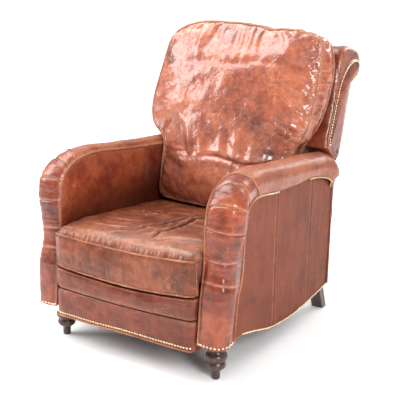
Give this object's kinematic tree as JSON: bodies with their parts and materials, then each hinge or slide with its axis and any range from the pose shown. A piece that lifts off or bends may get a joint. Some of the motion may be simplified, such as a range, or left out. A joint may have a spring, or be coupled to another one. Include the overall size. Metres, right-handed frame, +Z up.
{
  "type": "recliner armchair",
  "caption": "Leather push-back recliner with rolled arms, loose T-shaped back pillow, scrolled raking back, fold-out footrest, turned front feet and sabre rear legs.",
  "frame": {"origin": "on the floor under the middle of the chair's overall box, footrest stowed and back upright", "axes": "+Z up; the chair faces -Y; +X is the sitter's left"},
  "size_m": [0.8292, 1.0548, 1.122],
  "materials": {
    "leather": "glossy aged reddish brown",
    "leather_seat": "semi-gloss creased brown",
    "dark_wood": "dark walnut stain, satin",
    "frame_wood": "raw hardwood",
    "steel": "black oxide",
    "spring_steel": "bare wire",
    "nail_brass": "antique brass",
    "deck_cloth": "black deck cloth"
  },
  "bodies": {
    "base": {"arm_front_roll_left": "leather", "arm_front_roll_right": "leather", "arm_pad_left": "leather", "arm_pad_right": "leather", "arm_rails": "frame_wood", "arm_rear_band_left": "leather", "arm_rear_band_right": "leather", "back_hinge_brackets": "steel", "back_hinge_pins": "steel", "bottom_rail_left": "frame_wood", "bottom_rail_right": "frame_wood", "footrest_mount_brackets": "steel", "footrest_mount_pins": "steel", "front_foot_left": "dark_wood", "front_foot_right": "dark_wood", "front_posts": "frame_wood", "front_stretcher": "frame_wood", "inside_arm_panel_left": "leather", "inside_arm_panel_right": "leather", "outside_arm_panel_left": "leather", "outside_arm_panel_right": "leather", "rear_apron": "leather", "rear_leg_left": "dark_wood", "rear_leg_right": "dark_wood", "rear_posts": "frame_wood", "rear_stretcher": "frame_wood", "seat_tracks": "steel", "skirt_nails": "nail_brass"},
    "back": {"back_bottom_rail": "frame_wood", "back_cushion": "leather", "back_facing_left": "leather", "back_facing_nails": "nail_brass", "back_facing_right": "leather", "back_hinge_plates": "steel", "back_lower_apron": "leather", "back_scroll": "leather", "back_springs": "spring_steel", "back_stiles": "frame_wood", "back_top_rail": "frame_wood", "back_wing_left": "frame_wood", "back_wing_right": "frame_wood", "inside_back_pad": "leather", "outside_back_cover": "leather"},
    "footrest": {"footrest_board": "frame_wood", "footrest_channel_lower": "leather", "footrest_channel_upper": "leather", "footrest_nails": "nail_brass", "footrest_panel_brackets": "steel"},
    "front_links": {"footrest_front_links": "steel", "footrest_panel_pins": "steel", "footrest_tie_bar": "steel"},
    "rear_links": {"footrest_knee_pins": "steel", "footrest_rear_links": "steel", "footrest_torque_tube": "steel"},
    "seat": {"seat_cross_rails": "frame_wood", "seat_cushion": "leather_seat", "seat_deck": "deck_cloth", "seat_runners": "steel", "seat_side_rails": "frame_wood", "seat_springs": "spring_steel"}
  },
  "joints": [
    {"name": "back_recline", "type": "hinge", "parent": "base", "child": "back", "pos_m": [0, 0.23, 0.32], "axis": [-1, 0, 0], "range_deg": [0, 30]},
    {"name": "seat_slide", "type": "slide", "parent": "base", "child": "seat", "axis": [0, -1, 0], "range_m": [0, 0.04]},
    {"name": "footrest_open", "type": "hinge", "parent": "base", "child": "rear_links", "pos_m": [0, -0.328, 0.246], "axis": [-1, 0, 0], "range_deg": [0, 111]},
    {"name": "footrest_knee", "type": "hinge", "parent": "rear_links", "child": "front_links", "pos_m": [0, -0.249, 0.123], "axis": [-1, 0, 0], "range_deg": [-120, 0]},
    {"name": "footrest_tilt", "type": "hinge", "parent": "front_links", "child": "footrest", "pos_m": [0, -0.425, 0.254], "axis": [-1, 0, 0], "range_deg": [0, 99]}
  ],
  "couplings": [
    {"joint": "seat_slide", "follows": "back_recline", "m_per_rad": 0.0763},
    {"joint": "footrest_knee", "follows": "footrest_open", "ratio": -1.081},
    {"joint": "footrest_tilt", "follows": "footrest_open", "ratio": 0.8918}
  ]
}
